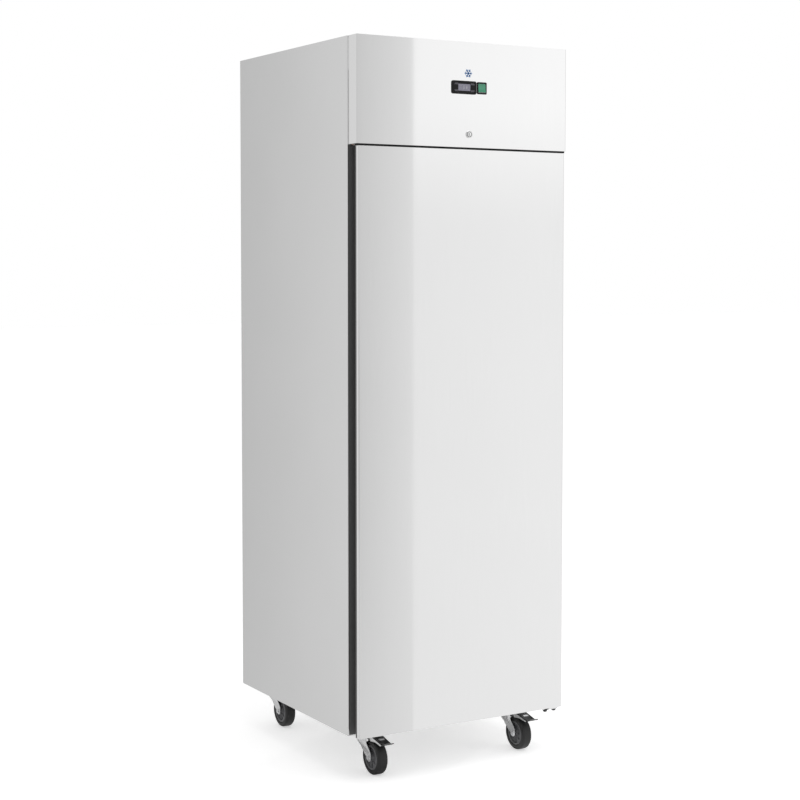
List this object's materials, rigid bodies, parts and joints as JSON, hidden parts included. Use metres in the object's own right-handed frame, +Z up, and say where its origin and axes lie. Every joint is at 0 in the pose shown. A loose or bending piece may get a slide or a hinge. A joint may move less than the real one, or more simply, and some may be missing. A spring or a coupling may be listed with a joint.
{
  "type": "reach in refrigerator",
  "caption": "Upright commercial refrigerator with one full height solid door, a plain header with controls, a top mounted unit, wire shelves and braked castors.",
  "frame": {"origin": "centre of the overall box on the floor", "axes": "+X to the right seen from the front, +Y to the back, +Z up; the door faces -Y"},
  "size_m": [0.684, 0.718, 2.01],
  "materials": {
    "stainless_side": "brushed satin",
    "stainless_front": "brushed satin, brighter door and header",
    "stainless_inner": "brushed satin",
    "galvanised": "galvanised",
    "dark_frame": "matt dark grey",
    "insulation": "foamed polyurethane",
    "black_plastic": "moulded black",
    "display": "smoked display window",
    "key_plastic": "moulded dark keys",
    "green_plastic": "translucent green",
    "chrome_trim": "polished",
    "zinc": "bright zinc plate",
    "dark_steel": "blackened",
    "black_steel": "black, edge worn",
    "black_paint": "gloss black",
    "aluminium_fins": "bare fins",
    "copper": "bare copper",
    "grey_plastic": "moulded grey",
    "gasket": "soft magnetic seal",
    "nylon": "nylon",
    "coated_wire": "plastic coated wire",
    "hub_plastic": "moulded grey",
    "tyre_rubber": "black rubber"
  },
  "bodies": {
    "root": {"side_panel_left": "stainless_side", "side_panel_right": "stainless_side", "back_panel": "stainless_side", "base_panel": "stainless_side", "top_deck": "galvanised", "cabinet_foam": "insulation", "inner_liner": "stainless_inner", "face_frame": "dark_frame", "header_panel": "stainless_front", "rear_grille": "stainless_side", "controller_housing": "black_plastic", "controller_lens": "display", "rocker_frame": "black_plastic", "lock_barrel": "chrome_trim", "top_hinge_bracket": "zinc", "bottom_hinge_bracket": "zinc", "cabinet_fasteners": "dark_steel", "caster_plates": "zinc", "caster_bolts": "zinc", "compressor": "black_paint", "condenser_coil": "aluminium_fins", "condenser_shroud": "black_plastic", "refrigerant_lines": "copper", "electrical_box": "grey_plastic", "evaporator_coil": "aluminium_fins", "evaporator_cover": "stainless_inner", "shelf_pilasters": "stainless_inner", "shelf_clips": "stainless_inner"},
    "door": {"door_skin": "stainless_front", "door_liner": "stainless_inner", "door_foam": "insulation", "door_grip": "dark_frame", "door_gasket": "gasket", "door_bushes": "nylon"},
    "lock": {"lock_plug": "chrome_trim"},
    "mains_rocker": {"rocker": "green_plastic"},
    "key_1": {"button_1": "key_plastic"},
    "key_2": {"button_2": "key_plastic"},
    "key_3": {"button_3": "key_plastic"},
    "key_4": {"button_4": "key_plastic"},
    "warm_fan": {"condenser_fan": "grey_plastic"},
    "cold_fan": {"evaporator_fan": "grey_plastic"},
    "upper_shelf": {"shelf_top": "coated_wire"},
    "centre_shelf": {"shelf_middle": "coated_wire"},
    "lower_shelf": {"shelf_bottom": "coated_wire"},
    "caster_fl": {"caster_fork_fl": "zinc"},
    "wheel_fl": {"wheel_hub_fl": "hub_plastic", "tyre_fl": "tyre_rubber"},
    "caster_fr": {"caster_fork_fr": "zinc"},
    "wheel_fr": {"wheel_hub_fr": "hub_plastic", "tyre_fr": "tyre_rubber"},
    "caster_rl": {"caster_fork_rl": "zinc"},
    "wheel_rl": {"wheel_hub_rl": "hub_plastic", "tyre_rl": "tyre_rubber"},
    "caster_rr": {"caster_fork_rr": "zinc"},
    "wheel_rr": {"wheel_hub_rr": "hub_plastic", "tyre_rr": "tyre_rubber"},
    "pedal_fl": {"brake_pedal_fl": "black_steel"},
    "pedal_fr": {"brake_pedal_fr": "black_steel"}
  },
  "joints": [
    {"name": "door_swing", "type": "hinge", "parent": "root", "child": "door", "pos_m": [0.316, -0.34, 0.9], "axis": [0, 0, 1], "range_deg": [0, 110]},
    {"name": "lock_turn", "type": "hinge", "parent": "root", "child": "lock", "pos_m": [0.0125, -0.345, 1.759], "axis": [0, 1, 0], "range_deg": [0, 90]},
    {"name": "rocker_tilt", "type": "hinge", "parent": "root", "child": "mains_rocker", "pos_m": [0.054, -0.351, 1.8865], "axis": [1, 0, 0], "range_deg": [0, 14]},
    {"name": "key_1_press", "type": "slide", "parent": "root", "child": "key_1", "axis": [0, 1, 0], "range_m": [0, 0.0007], "stiffness_N_per_m": 900, "springref_m": -0.0006},
    {"name": "key_2_press", "type": "slide", "parent": "root", "child": "key_2", "axis": [0, 1, 0], "range_m": [0, 0.0007], "stiffness_N_per_m": 900, "springref_m": -0.0006},
    {"name": "key_3_press", "type": "slide", "parent": "root", "child": "key_3", "axis": [0, 1, 0], "range_m": [0, 0.0007], "stiffness_N_per_m": 900, "springref_m": -0.0006},
    {"name": "key_4_press", "type": "slide", "parent": "root", "child": "key_4", "axis": [0, 1, 0], "range_m": [0, 0.0007], "stiffness_N_per_m": 900, "springref_m": -0.0006},
    {"name": "warm_fan_spin", "type": "hinge", "parent": "root", "child": "warm_fan", "pos_m": [-0.165, -0.111, 1.842], "axis": [0, 1, 0], "continuous": true},
    {"name": "cold_fan_spin", "type": "hinge", "parent": "root", "child": "cold_fan", "pos_m": [0, -0.038, 1.5825], "axis": [0, 1, 0], "continuous": true},
    {"name": "upper_shelf_slide", "type": "slide", "parent": "root", "child": "upper_shelf", "axis": [0, -1, 0], "range_m": [0, 0.038]},
    {"name": "centre_shelf_slide", "type": "slide", "parent": "root", "child": "centre_shelf", "axis": [0, -1, 0], "range_m": [0, 0.038]},
    {"name": "lower_shelf_slide", "type": "slide", "parent": "root", "child": "lower_shelf", "axis": [0, -1, 0], "range_m": [0, 0.038]},
    {"name": "caster_fl_swivel", "type": "hinge", "parent": "root", "child": "caster_fl", "pos_m": [-0.239, -0.241, 0.115], "axis": [0, 0, 1], "continuous": true},
    {"name": "wheel_fl_roll", "type": "hinge", "parent": "caster_fl", "child": "wheel_fl", "pos_m": [-0.239, -0.275, 0.0475], "axis": [1, 0, 0], "continuous": true},
    {"name": "caster_fr_swivel", "type": "hinge", "parent": "root", "child": "caster_fr", "pos_m": [0.239, -0.241, 0.115], "axis": [0, 0, 1], "continuous": true},
    {"name": "wheel_fr_roll", "type": "hinge", "parent": "caster_fr", "child": "wheel_fr", "pos_m": [0.239, -0.275, 0.0475], "axis": [1, 0, 0], "continuous": true},
    {"name": "caster_rl_swivel", "type": "hinge", "parent": "root", "child": "caster_rl", "pos_m": [-0.239, 0.3175, 0.115], "axis": [0, 0, 1], "continuous": true},
    {"name": "wheel_rl_roll", "type": "hinge", "parent": "caster_rl", "child": "wheel_rl", "pos_m": [-0.239, 0.2835, 0.0475], "axis": [1, 0, 0], "continuous": true},
    {"name": "caster_rr_swivel", "type": "hinge", "parent": "root", "child": "caster_rr", "pos_m": [0.239, 0.3175, 0.115], "axis": [0, 0, 1], "continuous": true},
    {"name": "wheel_rr_roll", "type": "hinge", "parent": "caster_rr", "child": "wheel_rr", "pos_m": [0.239, 0.2835, 0.0475], "axis": [1, 0, 0], "continuous": true},
    {"name": "pedal_fl_press", "type": "hinge", "parent": "caster_fl", "child": "pedal_fl", "pos_m": [-0.239, -0.265, 0.103], "axis": [1, 0, 0], "range_deg": [0, 12]},
    {"name": "pedal_fr_press", "type": "hinge", "parent": "caster_fr", "child": "pedal_fr", "pos_m": [0.239, -0.265, 0.103], "axis": [1, 0, 0], "range_deg": [0, 12]}
  ]
}
